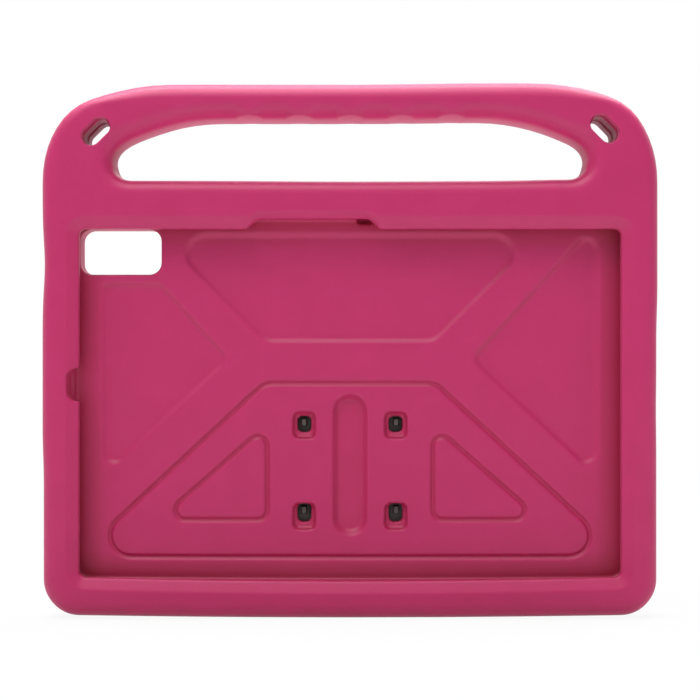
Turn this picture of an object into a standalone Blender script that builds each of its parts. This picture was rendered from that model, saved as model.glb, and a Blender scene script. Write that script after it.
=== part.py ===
"""Foam tablet case: a thick moulded foam frame with a carrying handle, and the clip plate pressed into its back.

The case stands upright on its bottom edge. X is its width, Z its height and -Y its front. The origin is the middle of
the bottom edge, half way through the case's depth.
"""

import math

import bmesh
import bpy
from mathutils import Matrix
from mathutils.geometry import interpolate_bezier

# Tablet that the case is moulded for, in metres as every size below
TABLET_WIDTH = 0.2568
TABLET_HEIGHT = 0.1686
TABLET_THICKNESS = 0.0072
TABLET_CORNER = 0.0066
TABLET_CLEARANCE = 0.0006

# Foam walls round the tablet
SIDE_WALL = 0.0141
BOTTOM_WALL = 0.0162
TOP_WALL = 0.0173
BACK_WALL = 0.010

# Lip that holds the tablet in
SIDE_LIP_OVERLAP = 0.0037
BOTTOM_LIP_OVERLAP = 0.0033
TOP_LIP_OVERLAP = 0.0055
LIP_THICKNESS = 0.0052
LIP_SLOPE_WIDTH = 0.0055
LIP_SLOPE_DEPTH = 0.0025
SLOPE_OVERLAP = 0.0008
WINDOW_CORNER = 0.003

# Outer rounding of the moulding
EDGE_RADIUS = 0.0065
REAR_EDGE_DEPTH = 0.003
BOTTOM_CORNER = 0.0171
SHOULDER_DROP = 0.0465
SHOULDER_REACH = 0.060
SHOULDER_RISE = 0.027
SHOULDER_RUN = 0.044

# Handle: the opening under the bar and the bar over it
OPENING_HALF_WIDTH = 0.111
OPENING_HEIGHT = 0.0292
OPENING_CORNER = 0.0095
OPENING_FLAT_HALF = 0.060
OPENING_END_RISE = 0.0090
OPENING_TOP_RUN = 0.0275
HANDLE_BAR = 0.0163

# Finger scallops under the bar, deeper at the front than at the rear
SCALLOP_COUNT = 5
SCALLOP_PITCH = 0.0234
SCALLOP_RADIUS = 0.010
SCALLOP_FRONT_DEPTH = 0.0026
SCALLOP_REAR_DEPTH = 0.0005

# Slots for a carrying strap, across the two top corners
STRAP_SLOT_BEYOND_OPENING = 0.006
STRAP_SLOT_BELOW_TOP = 0.0244
STRAP_SLOT_LENGTH = 0.0142
STRAP_SLOT_WIDTH = 0.0078
STRAP_SLOT_STEP = 0.0005
STRAP_SLOT_FRONT_PART = 0.0121
STRAP_SLOT_TILT = math.radians(45)
STRAP_FLARE_WIDTH = 0.0014
STRAP_FLARE_DEPTH = 0.0042

# Camera window in the back wall, at the cavity's top left corner
CAMERA_WIDTH = 0.0383
CAMERA_HEIGHT = 0.0212
CAMERA_CORNER = 0.0056
CAMERA_FROM_SIDE = 0.0018
CAMERA_FROM_TOP = 0.0047

# Cut-back of the top lip, with a button slot up into the handle opening
CUTBACK_LEFT = -0.0455
CUTBACK_RIGHT = 0.0130
CUTBACK_DEPTH = 0.0047
CUTBACK_CORNER = 0.0040
CUTBACK_SLOPE_WIDTH = 0.0030
BUTTON_SLOT_WIDTH = 0.0080
BUTTON_SLOT_DEPTH = 0.0052
BUTTON_SLOT_FROM_END = 0.0020
BUTTON_SLOT_IN_WALL = 0.0026
BUTTON_SLOT_BELOW_CAVITY_TOP = 0.0020
BUTTON_SLOT_ROUNDING = 0.0022

# Thumb notch in the left lip
NOTCH_HEIGHT = 0.0154
NOTCH_DEPTH = 0.0052
NOTCH_CORNER = 0.0046
NOTCH_ABOVE_CAVITY_BASE = 0.0923

# Recessed panels of the back wall
PANEL_DEPTH = 0.0012
PANEL_SLOPE = 0.0022
TOP_PANEL_HALF_TOP = 0.0920
TOP_PANEL_HALF_BASE = 0.0401
TOP_PANEL_BELOW_CAVITY_TOP = 0.0063
TOP_PANEL_HEIGHT = 0.0519
TOP_PANEL_CORNER = 0.0100
SIDE_PANEL_FROM_WALL = 0.0118
SIDE_PANEL_WIDTH = 0.0612
SIDE_PANEL_APEX_Z = 0.1202
SIDE_PANEL_RISE = 0.0671
SIDE_PANEL_FALL = 0.0574
SIDE_PANEL_CORNER = 0.0060
SIDE_PANEL_BELOW_CAMERA = 0.0037
SIDE_PANEL_TIGHT_CORNER = 0.0028

# Engraved lines of the back wall
GROOVE_RADIUS = 0.0012
BIG_GROOVE_HALF_TOP = 0.0403
BIG_GROOVE_HALF_BASE = 0.1286
BIG_GROOVE_TOP_Z = 0.1089
BIG_GROOVE_BASE_Z = 0.0269
BIG_GROOVE_CORNER = 0.0100
SMALL_GROOVE_INNER_X = 0.0390
SMALL_GROOVE_OUTER_X = 0.0899
SMALL_GROOVE_TOP_Z = 0.0893
SMALL_GROOVE_BASE_Z = 0.0445
SMALL_GROOVE_CORNER = 0.0046

# Long recess up the middle of the back wall
CHANNEL_WIDTH = 0.0169
CHANNEL_LENGTH = 0.0670
CHANNEL_MIDDLE_Z = 0.0704
CHANNEL_DEPTH = 0.0028
CHANNEL_SLOPE = 0.0029

# Four clip holes, each in the floor of its own pocket
CLIP_PITCH_X = 0.0432
CLIP_PITCH_Z = 0.0430
CLIP_MIDDLE_Z = 0.0675
POCKET_WIDTH = 0.0114
POCKET_HEIGHT = 0.0133
POCKET_CORNER = 0.0032
POCKET_DEPTH = 0.0024
POCKET_SLOPE = 0.0015
HOLE_WIDTH = 0.0064
HOLE_CORNER = 0.0022
UPPER_HOLE_HEIGHT = 0.0076
UPPER_HOLE_LIFT = 0.0004
LOWER_HOLE_HEIGHT = 0.0090
LOWER_HOLE_LIFT = 0.0016

# Clip plate on the back, pressed into its own recess
PLATE_WIDTH = 0.068
PLATE_HEIGHT = 0.068
PLATE_THICKNESS = 0.0030
PLATE_CORNER = 0.010
PLATE_EDGE = 0.0008
FIT_GAP = 0.0003
PEG_WIDTH = 0.0030
PEG_HEIGHT = 0.0042
PEG_BELOW_POCKET = 0.0008
PEG_TAPER = 0.7
PEG_BELOW_HOLE_TOP = 0.0005

# Fineness of the round shapes
ARC_STEP = math.radians(11.25)
SHOULDER_STEPS = 14
OPENING_STEPS = 12
EDGE_STEPS = 5
BUTTON_SLOT_STEPS = 3
WELD_DISTANCE = 0.00001
OVERSHOOT = 0.004
OBLONG_ROUNDNESS = 0.98
SCALLOP_SIDES = 48

FOAM_COLOUR = (0.479, 0.038, 0.124)
FOAM_ROUGHNESS = 0.6
PLATE_COLOUR = (0.110, 0.093, 0.085)
PLATE_ROUGHNESS = 0.5

# Sizes that follow from the ones above
CAVITY_HALF_WIDTH = TABLET_WIDTH / 2 + TABLET_CLEARANCE
CAVITY_HEIGHT = TABLET_HEIGHT + 2 * TABLET_CLEARANCE
CAVITY_DEPTH = TABLET_THICKNESS + TABLET_CLEARANCE
CAVITY_BASE = BOTTOM_WALL
CAVITY_TOP = CAVITY_BASE + CAVITY_HEIGHT
OPENING_BASE = CAVITY_TOP + TOP_WALL
OPENING_TOP = OPENING_BASE + OPENING_HEIGHT
CASE_HALF_WIDTH = CAVITY_HALF_WIDTH + SIDE_WALL
CASE_HEIGHT = OPENING_TOP + HANDLE_BAR
CASE_DEPTH = LIP_THICKNESS + CAVITY_DEPTH + BACK_WALL
FRONT_Y = -CASE_DEPTH / 2
REAR_Y = CASE_DEPTH / 2
LIP_BACK_Y = FRONT_Y + LIP_THICKNESS
FLOOR_Y = LIP_BACK_Y + CAVITY_DEPTH
POCKET_FLOOR_Y = FLOOR_Y + POCKET_DEPTH
PLATE_FRONT_Y = REAR_Y - PLATE_THICKNESS
RECESS_Y = PLATE_FRONT_Y - FIT_GAP
WINDOW_HALF_WIDTH = CAVITY_HALF_WIDTH - SIDE_LIP_OVERLAP
WINDOW_BASE = CAVITY_BASE + BOTTOM_LIP_OVERLAP
WINDOW_TOP = CAVITY_TOP - TOP_LIP_OVERLAP


def clear_scene():
    """Remove every object of the open scene."""
    for found in list(bpy.data.objects):
        bpy.data.objects.remove(found, do_unlink=True)


def new_collection(name):
    """Return a collection of this name, linked to the scene."""
    made = bpy.data.collections.new(name)
    bpy.context.scene.collection.children.link(made)
    return made


def plain_material(name, colour, roughness):
    """Return a Principled material of one colour."""
    made = bpy.data.materials.new(name)
    made.use_nodes = True
    shader = made.node_tree.nodes["Principled BSDF"]
    shader.inputs["Base Color"].default_value = (*colour, 1.0)
    shader.inputs["Roughness"].default_value = roughness
    shader.inputs["Metallic"].default_value = 0.0
    return made


def rounded_outline(corners, inset=0.0):
    """Return the points of a closed outline whose corners, each (x, z, radius), are rounded by arcs.

    A positive inset moves the whole outline inwards, and a negative one outwards.
    """
    points = []
    for index, (x, z, radius) in enumerate(corners):
        before = corners[index - 1]
        after = corners[(index + 1) % len(corners)]
        back = (before[0] - x, before[1] - z)
        ahead = (after[0] - x, after[1] - z)
        back_angle = math.atan2(back[1], back[0])
        ahead_angle = math.atan2(ahead[1], ahead[0])
        opening = (ahead_angle - back_angle + math.pi) % (2 * math.pi) - math.pi
        reach = radius / math.sin(abs(opening) / 2)
        middle_angle = back_angle + opening / 2
        centre = (x + reach * math.cos(middle_angle), z + reach * math.sin(middle_angle))
        bend = radius - inset
        sweep = math.pi - abs(opening)
        steps = max(1, round(sweep / ARC_STEP))
        for step in range(steps + 1):
            turned = (step / steps - 0.5) * sweep * math.copysign(1, opening)
            angle = middle_angle + math.pi - turned
            points.append((centre[0] + bend * math.cos(angle), centre[1] + bend * math.sin(angle)))
    return points


def rectangle(left, right, base, top, radius, inset=0.0):
    """Return the outline of a rectangle with rounded corners."""
    corners = [(left, base, radius), (right, base, radius), (right, top, radius), (left, top, radius)]
    return rounded_outline(corners, inset)


def centred_rectangle(x, z, width, height, radius, inset=0.0):
    """Return the outline of a rectangle with rounded corners about its middle."""
    return rectangle(x - width / 2, x + width / 2, z - height / 2, z + height / 2, radius, inset)


def oblong(x, z, width, length, inset=0.0):
    """Return the outline of an upright slot with half round ends."""
    return centred_rectangle(x, z, width, length, width / 2 * OBLONG_ROUNDNESS, inset)


def as_mesh_object(source, collection):
    """Replace a curve object by a mesh object of its evaluated shape, with its caps welded."""
    bpy.context.view_layer.update()
    evaluated = source.evaluated_get(bpy.context.evaluated_depsgraph_get())
    mesh = bpy.data.meshes.new_from_object(evaluated)
    made = bpy.data.objects.new(source.name, mesh)
    made.matrix_world = source.matrix_world.copy()
    name = source.name
    bpy.data.objects.remove(source, do_unlink=True)
    made.name = name
    collection.objects.link(made)
    shape = bmesh.new()
    shape.from_mesh(mesh)
    bmesh.ops.remove_doubles(shape, verts=shape.verts, dist=WELD_DISTANCE)
    bmesh.ops.recalc_face_normals(shape, faces=shape.faces)
    shape.to_mesh(mesh)
    shape.free()
    return made


def standing_slab(name, collection, outline, front, rear, edge=0.0, edge_depth=0.0):
    """Return an upright slab of this outline between two depths.

    With edge, the outline grows by it from both faces towards the middle over edge_depth, as a straight slope.
    """
    curve = bpy.data.curves.new(name, "CURVE")
    curve.dimensions = "2D"
    curve.fill_mode = "BOTH"
    add_loop(curve, outline)
    half_depth = (rear - front) / 2
    curve.extrude = half_depth
    if edge:
        curve.bevel_depth = edge
        curve.bevel_resolution = 0
        curve.extrude = (half_depth - edge_depth) * edge / edge_depth
    slab = bpy.data.objects.new(name, curve)
    collection.objects.link(slab)
    slab.rotation_euler = (math.pi / 2, 0.0, 0.0)
    slab.location = (0.0, (front + rear) / 2, 0.0)
    made = as_mesh_object(slab, collection)
    if edge:
        made.data.transform(Matrix.Diagonal((1.0, 1.0, edge_depth / edge, 1.0)))
    return made


def sloped_cut(body, cutters, name, floor_outline, face_y, inwards, width, depth):
    """Cut a recess into a face: its wall slopes out by width from the outline at its floor to the face.

    Inwards is 1 for a face that looks to the front and -1 for one that looks to the rear.
    """
    reach = 2.5 * depth
    deep = face_y + inwards * depth
    far = deep - inwards * 2 * reach
    slab = standing_slab(name, cutters, floor_outline, min(deep, far), max(deep, far), 2 * width, 2 * depth)
    combine(body, slab, "DIFFERENCE")


def groove_line(name, collection, outline):
    """Return a round bar bent along a closed outline on the back wall's face."""
    curve = bpy.data.curves.new(name, "CURVE")
    curve.dimensions = "3D"
    curve.bevel_depth = GROOVE_RADIUS
    curve.bevel_resolution = 1
    spline = curve.splines.new("POLY")
    spline.points.add(len(outline) - 1)
    for point, (x, z) in zip(spline.points, outline):
        point.co = (x, FLOOR_Y, z, 1.0)
    spline.use_cyclic_u = True
    bar = bpy.data.objects.new(name, curve)
    collection.objects.link(bar)
    return as_mesh_object(bar, collection)


def own_object(name, collection):
    """Name the object that a primitive operator has just made, and move it to this collection."""
    made = bpy.context.active_object
    made.name = name
    for holder in list(made.users_collection):
        holder.objects.unlink(made)
    collection.objects.link(made)
    return made


def set_cutter(cutter):
    """Mark an object as a cutter, which isn't part of the case."""
    cutter.hide_render = True
    cutter.display_type = "WIRE"
    return cutter


def combine(target, tool, operation):
    """Add a Boolean of the tool to the target."""
    modifier = target.modifiers.new(tool.name, "BOOLEAN")
    modifier.object = tool
    modifier.operation = operation
    modifier.solver = "EXACT"
    set_cutter(tool)


def bezier_outline(knots, steps):
    """Return the points of a closed outline through these knots, each (point, left handle, right handle).

    A stretch between two knots without handles is straight and gets no points of its own.
    """
    points = []
    for index, (place, _, right) in enumerate(knots):
        ahead, ahead_left, _ = knots[(index + 1) % len(knots)]
        points.append(place)
        if right != place or ahead_left != ahead:
            ends = ((*corner, 0.0) for corner in (place, right, ahead_left, ahead))
            bend = interpolate_bezier(*ends, steps + 1)
            points += [(point.x, point.y) for point in bend[1:-1]]
    return points


def add_loop(curve, outline):
    """Add a closed polyline through these points to a flat curve."""
    spline = curve.splines.new("POLY")
    spline.points.add(len(outline) - 1)
    for point, (x, z) in zip(spline.points, outline):
        point.co = (x, z, 0.0, 1.0)
    spline.use_cyclic_u = True


def arc_knots(x, z, radius, side):
    """Return the two knots of a quarter turn at a bottom corner, going down the side and then inwards."""
    pull = radius * 0.5523
    down = (x, z + radius)
    along = (x - side * radius, z)
    first = (down, down, (x, z + radius - pull))
    second = (along, (x - side * (radius - pull), z), along)
    return first, second


def body_outline():
    """Return the knots of the case's outer outline, from the middle of the top going left."""
    shoulder_z = CASE_HEIGHT - SHOULDER_DROP
    knots = []
    for side in (-1, 1):
        x = side * CASE_HALF_WIDTH
        top = (side * (CASE_HALF_WIDTH - SHOULDER_REACH), CASE_HEIGHT)
        top_handle = (top[0] + side * SHOULDER_RUN, CASE_HEIGHT)
        shoulder = (x, shoulder_z)
        shoulder_handle = (x, shoulder_z + SHOULDER_RISE)
        first, second = arc_knots(x, 0.0, BOTTOM_CORNER, side)
        half = [
            (top, top, top_handle),
            (shoulder, shoulder_handle, shoulder),
            first,
            second,
        ]
        if side == 1:
            half = [(place, right, left) for place, left, right in reversed(half)]
        knots += half
    return knots


def opening_outline():
    """Return the knots of the handle opening, from the left end of its flat top going right."""
    crown = (-OPENING_FLAT_HALF, OPENING_TOP)
    crown_handle = (-OPENING_FLAT_HALF - OPENING_TOP_RUN, OPENING_TOP)
    end = (-OPENING_HALF_WIDTH, OPENING_BASE + OPENING_CORNER)
    end_handle = (-OPENING_HALF_WIDTH, end[1] + OPENING_END_RISE)
    first, second = arc_knots(-OPENING_HALF_WIDTH, OPENING_BASE, OPENING_CORNER, -1)
    left = [
        (crown, crown, crown_handle),
        (first[0], end_handle, first[2]),
        second,
    ]
    right = [
        ((-place[0], place[1]), (-after[0], after[1]), (-before[0], before[1]))
        for place, before, after in reversed(left)
    ]
    return left + right


def rounded_body(collection):
    """Return the frame as a solid slab with its handle opening, whose edges are rounded all round."""
    curve = bpy.data.curves.new("foam_case", "CURVE")
    curve.dimensions = "2D"
    curve.fill_mode = "BOTH"
    curve.extrude = CASE_DEPTH / 2 - EDGE_RADIUS
    curve.bevel_depth = EDGE_RADIUS
    curve.bevel_resolution = EDGE_STEPS - 1
    curve.offset = -EDGE_RADIUS
    add_loop(curve, bezier_outline(body_outline(), SHOULDER_STEPS))
    add_loop(curve, bezier_outline(opening_outline(), OPENING_STEPS))
    slab = bpy.data.objects.new("foam_case", curve)
    collection.objects.link(slab)
    slab.rotation_euler = (math.pi / 2, 0.0, 0.0)
    body = as_mesh_object(slab, collection)
    body.data.transform(body.matrix_world)
    body.matrix_world = Matrix.Identity(4)
    flatten_rear_edge(body.data)
    return body


def flatten_rear_edge(mesh):
    """Make the rear edge's rounding shallower than the front's, and the straight wall deeper by as much."""
    start = REAR_Y - EDGE_RADIUS
    for vertex in mesh.vertices:
        if vertex.co.y > start - WELD_DISTANCE:
            share = (vertex.co.y - start) / EDGE_RADIUS
            vertex.co.y = REAR_Y - REAR_EDGE_DEPTH * (1 - share)


def cut_tablet_space(body, cutters):
    """Cut the tablet's cavity, the window in the lip, and the slope round the window."""
    cavity = rectangle(-CAVITY_HALF_WIDTH, CAVITY_HALF_WIDTH, CAVITY_BASE, CAVITY_TOP, TABLET_CORNER)
    combine(body, standing_slab("cavity_cut", cutters, cavity, LIP_BACK_Y, FLOOR_Y), "DIFFERENCE")
    sides = (-WINDOW_HALF_WIDTH, WINDOW_HALF_WIDTH, WINDOW_BASE, WINDOW_TOP)
    window = rectangle(*sides, WINDOW_CORNER)
    middle_y = (LIP_BACK_Y + FLOOR_Y) / 2
    combine(body, standing_slab("window_cut", cutters, window, FRONT_Y - OVERSHOOT, middle_y), "DIFFERENCE")
    within = rectangle(*sides, WINDOW_CORNER, SLOPE_OVERLAP)
    deepened = 1 + SLOPE_OVERLAP / LIP_SLOPE_WIDTH
    sloped_cut(body, cutters, "lip_slope_cut", within, FRONT_Y, 1, LIP_SLOPE_WIDTH * deepened,
               LIP_SLOPE_DEPTH * deepened)


def cut_lip_details(body, cutters):
    """Cut the top lip's cut-back, the button slot behind it, and the thumb notch of the left lip."""
    below = WINDOW_TOP - 2 * CUTBACK_CORNER
    sides = (CUTBACK_LEFT, CUTBACK_RIGHT, below, WINDOW_TOP + CUTBACK_DEPTH)
    middle_y = (LIP_BACK_Y + FLOOR_Y) / 2
    cutback = rectangle(*sides, CUTBACK_CORNER)
    combine(body, standing_slab("cutback_cut", cutters, cutback, FRONT_Y - OVERSHOOT, middle_y), "DIFFERENCE")
    within = rectangle(*sides, CUTBACK_CORNER, SLOPE_OVERLAP)
    deepened = 1 + SLOPE_OVERLAP / CUTBACK_SLOPE_WIDTH
    sloped_cut(body, cutters, "cutback_slope_cut", within, FRONT_Y, 1, CUTBACK_SLOPE_WIDTH * deepened,
               LIP_SLOPE_DEPTH * deepened)
    cut_button_slot(body, cutters)
    notch_z = CAVITY_BASE + NOTCH_ABOVE_CAVITY_BASE
    notch = centred_rectangle(-WINDOW_HALF_WIDTH, notch_z, 2 * NOTCH_DEPTH, NOTCH_HEIGHT, NOTCH_CORNER)
    combine(body, standing_slab("thumb_notch_cut", cutters, notch, FRONT_Y - OVERSHOOT, middle_y), "DIFFERENCE")


def cut_button_slot(body, cutters):
    """Cut the slot for a button, from the handle opening down to a rounded end in the back wall."""
    right = CUTBACK_RIGHT - BUTTON_SLOT_FROM_END
    base = CAVITY_TOP - BUTTON_SLOT_BELOW_CAVITY_TOP
    top = OPENING_BASE + OVERSHOOT
    rear = FLOOR_Y + BUTTON_SLOT_IN_WALL
    bpy.ops.mesh.primitive_cube_add(
        size=1.0, location=(right - BUTTON_SLOT_WIDTH / 2, rear - BUTTON_SLOT_DEPTH / 2, (base + top) / 2)
    )
    slot = own_object("button_slot_cut", cutters)
    slot.data.transform(Matrix.Diagonal((BUTTON_SLOT_WIDTH, BUTTON_SLOT_DEPTH, top - base, 1.0)))
    rounding = slot.modifiers.new("rounding", "BEVEL")
    rounding.width = BUTTON_SLOT_ROUNDING
    rounding.segments = BUTTON_SLOT_STEPS
    combine(body, slot, "DIFFERENCE")


def cut_camera_window(body, cutters):
    """Cut the camera's window through the back wall, close to the cavity's top left corner."""
    left = -CAVITY_HALF_WIDTH + CAMERA_FROM_SIDE
    top = CAVITY_TOP - CAMERA_FROM_TOP
    window = rectangle(left, left + CAMERA_WIDTH, top - CAMERA_HEIGHT, top, CAMERA_CORNER)
    combine(body, standing_slab("camera_cut", cutters, window, FLOOR_Y - OVERSHOOT, REAR_Y + OVERSHOOT),
            "DIFFERENCE")


def turned(outline, x, z, angle):
    """Return an outline turned about its own origin and then moved to (x, z)."""
    cosine = math.cos(angle)
    sine = math.sin(angle)
    return [(x + u * cosine - v * sine, z + u * sine + v * cosine) for u, v in outline]


def cut_strap_slots(body, cutters):
    """Cut the two slanting strap slots, whose rear half is a little narrower than the front half."""
    z = CASE_HEIGHT - STRAP_SLOT_BELOW_TOP
    step_y = FRONT_Y + STRAP_SLOT_FRONT_PART
    deepened = 1 + SLOPE_OVERLAP / STRAP_FLARE_WIDTH
    for side, word in ((-1, "left"), (1, "right")):
        x = side * (OPENING_HALF_WIDTH + STRAP_SLOT_BEYOND_OPENING)
        angle = side * STRAP_SLOT_TILT
        halves = (
            ("front", FRONT_Y, 1, 0.0, FRONT_Y - OVERSHOOT, step_y),
            ("rear", REAR_Y, -1, STRAP_SLOT_STEP, step_y - OVERSHOOT, REAR_Y + OVERSHOOT),
        )
        for end, face_y, inwards, inset, near, far in halves:
            outer = oblong(0.0, 0.0, STRAP_SLOT_WIDTH, STRAP_SLOT_LENGTH, inset)
            inner = oblong(0.0, 0.0, STRAP_SLOT_WIDTH, STRAP_SLOT_LENGTH, inset + SLOPE_OVERLAP)
            half = standing_slab(f"{word}_strap_{end}_cut", cutters, turned(outer, x, z, angle), near, far)
            combine(body, half, "DIFFERENCE")
            sloped_cut(body, cutters, f"{word}_strap_{end}_flare_cut", turned(inner, x, z, angle), face_y, inwards,
                       STRAP_FLARE_WIDTH + SLOPE_OVERLAP, STRAP_FLARE_DEPTH * deepened)


def cut_finger_scallops(body, cutters):
    """Cut the row of finger scallops in the underside of the handle bar, with tilted round bars."""
    tilt = math.atan2(SCALLOP_FRONT_DEPTH - SCALLOP_REAR_DEPTH, CASE_DEPTH)
    middle_depth = (SCALLOP_FRONT_DEPTH + SCALLOP_REAR_DEPTH) / 2
    for index in range(SCALLOP_COUNT):
        x = (index - (SCALLOP_COUNT - 1) / 2) * SCALLOP_PITCH
        z = OPENING_TOP + middle_depth - SCALLOP_RADIUS
        bpy.ops.mesh.primitive_cylinder_add(
            vertices=SCALLOP_SIDES, radius=SCALLOP_RADIUS, depth=2 * CASE_DEPTH, location=(x, 0.0, z),
            rotation=(math.pi / 2 - tilt, 0.0, 0.0),
        )
        combine(body, own_object(f"finger_scallop_cut_{index + 1}", cutters), "DIFFERENCE")


def cut_wall_panels(body, cutters):
    """Recess the three large panels of the back wall."""
    top = CAVITY_TOP - TOP_PANEL_BELOW_CAVITY_TOP
    base = top - TOP_PANEL_HEIGHT
    radius = TOP_PANEL_CORNER
    middle = rounded_outline([
        (-TOP_PANEL_HALF_BASE, base, radius),
        (TOP_PANEL_HALF_BASE, base, radius),
        (TOP_PANEL_HALF_TOP, top, radius),
        (-TOP_PANEL_HALF_TOP, top, radius),
    ], PANEL_SLOPE)
    wall = CAVITY_HALF_WIDTH - SIDE_PANEL_FROM_WALL
    apex = wall - SIDE_PANEL_WIDTH
    radius = SIDE_PANEL_CORNER
    upper = SIDE_PANEL_APEX_Z + SIDE_PANEL_RISE
    lower = SIDE_PANEL_APEX_Z - SIDE_PANEL_FALL
    right = rounded_outline([
        (wall, lower, radius), (wall, upper, radius), (apex, SIDE_PANEL_APEX_Z, radius)
    ], PANEL_SLOPE)
    level = CAVITY_TOP - CAMERA_FROM_TOP - CAMERA_HEIGHT - SIDE_PANEL_BELOW_CAMERA
    share = (level - SIDE_PANEL_APEX_Z) / (upper - SIDE_PANEL_APEX_Z)
    shoulder = apex + (wall - apex) * share
    left = rounded_outline([
        (-wall, lower, radius), (-apex, SIDE_PANEL_APEX_Z, radius), (-shoulder, level, radius),
        (-wall, level, SIDE_PANEL_TIGHT_CORNER),
    ], PANEL_SLOPE)
    for name, outline in (("top_panel_cut", middle), ("right_panel_cut", right), ("left_panel_cut", left)):
        sloped_cut(body, cutters, name, outline, FLOOR_Y, 1, PANEL_SLOPE, PANEL_DEPTH)


def cut_engraved_lines(body, cutters):
    """Engrave the large line round the lower half of the back wall and the two small triangles in it."""
    big = rounded_outline([
        (-BIG_GROOVE_HALF_BASE, BIG_GROOVE_BASE_Z, BIG_GROOVE_CORNER),
        (BIG_GROOVE_HALF_BASE, BIG_GROOVE_BASE_Z, BIG_GROOVE_CORNER),
        (BIG_GROOVE_HALF_TOP, BIG_GROOVE_TOP_Z, BIG_GROOVE_CORNER),
        (-BIG_GROOVE_HALF_TOP, BIG_GROOVE_TOP_Z, BIG_GROOVE_CORNER),
    ])
    combine(body, groove_line("large_line_cut", cutters, big), "DIFFERENCE")
    for side, word in ((-1, "left"), (1, "right")):
        small = rounded_outline([
            (side * SMALL_GROOVE_OUTER_X, SMALL_GROOVE_BASE_Z, SMALL_GROOVE_CORNER),
            (side * SMALL_GROOVE_INNER_X, SMALL_GROOVE_BASE_Z, SMALL_GROOVE_CORNER),
            (side * SMALL_GROOVE_INNER_X, SMALL_GROOVE_TOP_Z, SMALL_GROOVE_CORNER),
        ])
        combine(body, groove_line(f"{word}_triangle_cut", cutters, small), "DIFFERENCE")


def clip_places():
    """Return (word, x, pocket z, hole z, hole height) of each of the four clip holes."""
    places = []
    for side, across in ((-1, "left"), (1, "right")):
        for row, up, height, lift in ((1, "upper", UPPER_HOLE_HEIGHT, UPPER_HOLE_LIFT),
                                      (-1, "lower", LOWER_HOLE_HEIGHT, LOWER_HOLE_LIFT)):
            x = side * CLIP_PITCH_X / 2
            z = CLIP_MIDDLE_Z + row * CLIP_PITCH_Z / 2
            places.append((f"{up}_{across}", x, z, z + lift, height))
    return places


def cut_clip_seat(body, cutters):
    """Cut the long recess, the four pockets with their holes, and the clip plate's recess at the rear."""
    channel = oblong(0.0, CHANNEL_MIDDLE_Z, CHANNEL_WIDTH, CHANNEL_LENGTH, CHANNEL_SLOPE)
    sloped_cut(body, cutters, "channel_cut", channel, FLOOR_Y, 1, CHANNEL_SLOPE, CHANNEL_DEPTH)
    for word, x, z, hole_z, hole_height in clip_places():
        pocket = centred_rectangle(x, z, POCKET_WIDTH, POCKET_HEIGHT, POCKET_CORNER, POCKET_SLOPE)
        sloped_cut(body, cutters, f"{word}_pocket_cut", pocket, FLOOR_Y, 1, POCKET_SLOPE, POCKET_DEPTH)
        hole = centred_rectangle(x, hole_z, HOLE_WIDTH, hole_height, HOLE_CORNER)
        combine(body, standing_slab(f"{word}_hole_cut", cutters, hole, FLOOR_Y - OVERSHOOT, REAR_Y + OVERSHOOT),
                "DIFFERENCE")
    seat = centred_rectangle(0.0, CLIP_MIDDLE_Z, PLATE_WIDTH, PLATE_HEIGHT, PLATE_CORNER, -FIT_GAP)
    combine(body, standing_slab("plate_seat_cut", cutters, seat, RECESS_Y, REAR_Y + OVERSHOOT), "DIFFERENCE")


def apply_cuts(body):
    """Turn the body and its cuts into one closed mesh, and clear the cuts."""
    bpy.context.view_layer.update()
    evaluated = body.evaluated_get(bpy.context.evaluated_depsgraph_get())
    mesh = bpy.data.meshes.new_from_object(evaluated)
    body.modifiers.clear()
    body.data = mesh
    shape = bmesh.new()
    shape.from_mesh(mesh)
    bmesh.ops.remove_doubles(shape, verts=shape.verts, dist=WELD_DISTANCE)
    share_corners(shape)
    bmesh.ops.remove_doubles(shape, verts=shape.verts, dist=WELD_DISTANCE)
    shape.to_mesh(mesh)
    shape.free()


def share_corners(shape):
    """Split each edge that belongs to one face where a neighbour's corner touches it, so that both have it."""
    found = True
    while found:
        found = False
        loose = [edge for edge in shape.edges if len(edge.link_faces) == 1]
        corners = {corner for edge in loose for corner in edge.verts}
        for edge in loose:
            start, end = edge.verts
            run = end.co - start.co
            for corner in corners - {start, end}:
                share = (corner.co - start.co).dot(run) / run.length_squared
                aside = (corner.co - start.co - share * run).length
                if 0.0 < share < 1.0 and aside < WELD_DISTANCE:
                    _, made = bmesh.utils.edge_split(edge, start, share)
                    bmesh.ops.pointmerge(shape, verts=[made, corner], merge_co=corner.co)
                    found = True
                    break
            if found:
                break


def make_foam_case(parts, cutters):
    """Make the foam moulding."""
    body = rounded_body(parts)
    cut_tablet_space(body, cutters)
    cut_lip_details(body, cutters)
    cut_camera_window(body, cutters)
    cut_strap_slots(body, cutters)
    cut_finger_scallops(body, cutters)
    cut_wall_panels(body, cutters)
    cut_engraved_lines(body, cutters)
    cut_clip_seat(body, cutters)
    apply_cuts(body)
    body.data.materials.clear()
    body.data.materials.append(plain_material("foam_pink", FOAM_COLOUR, FOAM_ROUGHNESS))
    return body


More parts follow.
